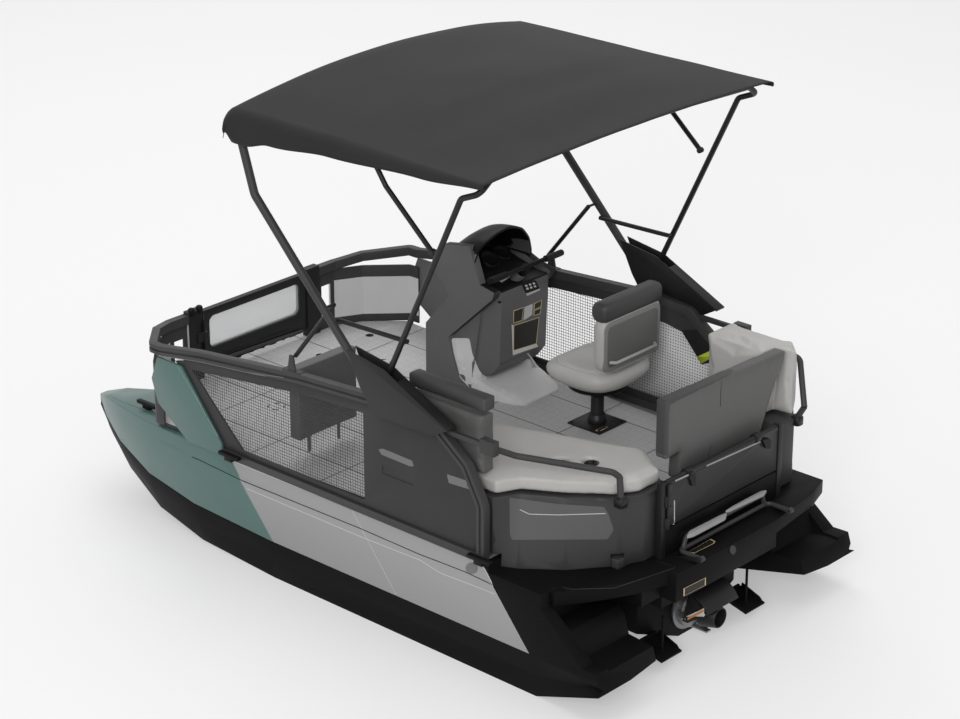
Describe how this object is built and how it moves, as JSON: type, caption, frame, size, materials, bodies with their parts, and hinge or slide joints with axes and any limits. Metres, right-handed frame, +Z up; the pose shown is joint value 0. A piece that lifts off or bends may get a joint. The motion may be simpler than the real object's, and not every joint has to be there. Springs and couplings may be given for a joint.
{
  "type": "pontoon boat",
  "caption": "Small triple-hull pontoon boat with jet drive, railed deck, helm console, lounge seats, folding sun top, bow and stern gates and boarding ladder",
  "frame": {"origin": "midway along the length on the centre plane, at the height of the lowest keel", "axes": "+X forward to the bow, +Y to port, +Z up"},
  "size_m": [3.998, 2.216, 2.718],
  "materials": {
    "hull_black": "satin black moulded hull",
    "cover_teal": "pearl teal paint",
    "cover_silver": "silver paint",
    "dark_moulding": "dark grey moulding",
    "deck_mat": "grey foam deck mat",
    "black_metal": "black powder coat",
    "silver_panel": "silver painted sheet",
    "teal_panel": "teal painted sheet",
    "mesh_black": "black perforated sheet",
    "window_grey": "smoked acrylic",
    "canvas": "charcoal woven canvas",
    "seat_vinyl": "grey marine vinyl",
    "dark_vinyl": "charcoal marine vinyl",
    "grey_moulding": "grey moulding",
    "black_plastic": "black plastic",
    "bare_metal": "bare aluminium",
    "bronze": "machined stainless steel"
  },
  "bodies": {
    "boat": {"hull_port": "hull_black", "hull_starboard": "hull_black", "hull_centre": "hull_black", "bow_covers": "cover_teal", "side_covers": "cover_silver", "engine_block": "bare_metal", "deck_frame": "dark_moulding", "deck_panel": "deck_mat", "stern_platform": "dark_moulding", "rail_port": "black_metal", "rail_starboard": "black_metal", "side_panels": "silver_panel", "mesh_panels": "mesh_black", "fairings": "teal_panel", "bow_panels": "black_metal", "bow_posts": "black_metal", "stern_posts": "black_metal", "threshold": "dark_moulding", "ladder_ears": "bare_metal", "top_housings": "black_plastic", "canopy": "canvas", "top_pole": "black_metal", "cleats": "black_plastic", "handrails": "black_metal", "console": "grey_moulding", "dash": "black_plastic", "footrest": "grey_moulding", "seat_pedestal": "bare_metal", "lounge_base_port": "dark_moulding", "lounge_base_starboard": "dark_moulding", "lounge_cushion_port": "seat_vinyl", "lounge_cushion_starboard": "seat_vinyl", "side_back_port": "seat_vinyl", "side_bolster": "dark_vinyl", "stern_backrest": "seat_vinyl", "fore_backrest": "seat_vinyl", "jet_pump": "bare_metal"},
    "bow_gate": {"bow_gate": "black_metal", "bow_gate_window": "window_grey"},
    "stern_gate": {"stern_gate": "black_metal"},
    "ladder": {"ladder": "bare_metal"},
    "handlebar": {"handlebar": "black_plastic"},
    "helm_seat": {"seat_pan": "black_plastic", "seat_cushion": "seat_vinyl", "seat_back": "seat_vinyl"},
    "steering_nozzle": {"steering_nozzle": "bronze"},
    "impeller": {"impeller": "bronze"},
    "reverse_bucket": {"reverse_bucket": "bare_metal"},
    "trim_tab_port": {"trim_tab_port": "black_metal"},
    "trim_tab_starboard": {"trim_tab_starboard": "black_metal"},
    "top_arm": {"top_arm": "black_metal"},
    "top_mid": {"top_mid": "black_metal"},
    "top_links": {"top_links": "black_metal"},
    "top_braces": {"top_braces": "black_metal"}
  },
  "joints": [
    {"name": "bow_gate_hinge", "type": "hinge", "parent": "boat", "child": "bow_gate", "pos_m": [1.4426, 0.404, 0.9], "axis": [0, 0, -1], "range_deg": [0, 95]},
    {"name": "stern_gate_hinge", "type": "hinge", "parent": "boat", "child": "stern_gate", "pos_m": [-1.7964, 0.3, 0.85], "axis": [0, 0, -1], "range_deg": [0, 90]},
    {"name": "ladder_hinge", "type": "hinge", "parent": "boat", "child": "ladder", "pos_m": [-1.962, -0.13, 0.601], "axis": [0, -1, 0], "range_deg": [0, 175]},
    {"name": "handlebar_steer", "type": "hinge", "parent": "boat", "child": "handlebar", "pos_m": [-0.0257, -0.65, 1.3922], "axis": [-0.6428, 0, 0.766], "range_deg": [-22, 22]},
    {"name": "seat_swivel", "type": "hinge", "parent": "boat", "child": "helm_seat", "pos_m": [-0.59, -0.6, 0.95], "axis": [0, 0, 1], "continuous": true},
    {"name": "nozzle_steer", "type": "hinge", "parent": "boat", "child": "steering_nozzle", "pos_m": [-1.828, 0, 0.162], "axis": [0, 0, 1], "range_deg": [-20, 20]},
    {"name": "impeller_spin", "type": "hinge", "parent": "boat", "child": "impeller", "pos_m": [-1.74, 0, 0.162], "axis": [1, 0, 0], "continuous": true},
    {"name": "bucket_lift", "type": "hinge", "parent": "boat", "child": "reverse_bucket", "pos_m": [-1.79, 0, 0.162], "axis": [0, -1, 0], "range_deg": [0, 70]},
    {"name": "trim_port", "type": "hinge", "parent": "boat", "child": "trim_tab_port", "pos_m": [-1.712, 0.345, 0.112], "axis": [0, 1, 0], "range_deg": [-3, 12]},
    {"name": "trim_starboard", "type": "hinge", "parent": "boat", "child": "trim_tab_starboard", "pos_m": [-1.712, -0.345, 0.112], "axis": [0, 1, 0], "range_deg": [-3, 12]},
    {"name": "top_fold", "type": "hinge", "parent": "boat", "child": "top_arm", "pos_m": [-0.5, 0, 1.37], "axis": [0, -1, 0], "range_deg": [0, 50], "deforming": ["canopy"]},
    {"name": "mid_fold", "type": "hinge", "parent": "boat", "child": "top_mid", "pos_m": [-0.905, 0, 2.165], "axis": [0, -1, 0], "range_deg": [0, 64]},
    {"name": "link_fold", "type": "hinge", "parent": "top_arm", "child": "top_links", "pos_m": [-0.245, 0, 1.633], "axis": [0, -1, 0], "range_deg": [-113, 0]},
    {"name": "brace_fold", "type": "hinge", "parent": "boat", "child": "top_braces", "pos_m": [0.1, 0, 1.335], "axis": [0, -1, 0], "range_deg": [0, 46]}
  ],
  "couplings": [
    {"joint": "nozzle_steer", "follows": "handlebar_steer", "ratio": 0.9},
    {"joint": "mid_fold", "follows": "top_fold", "ratio": 1.28},
    {"joint": "link_fold", "follows": "top_fold", "ratio": -2.256},
    {"joint": "brace_fold", "follows": "top_fold", "ratio": 0.92}
  ]
}
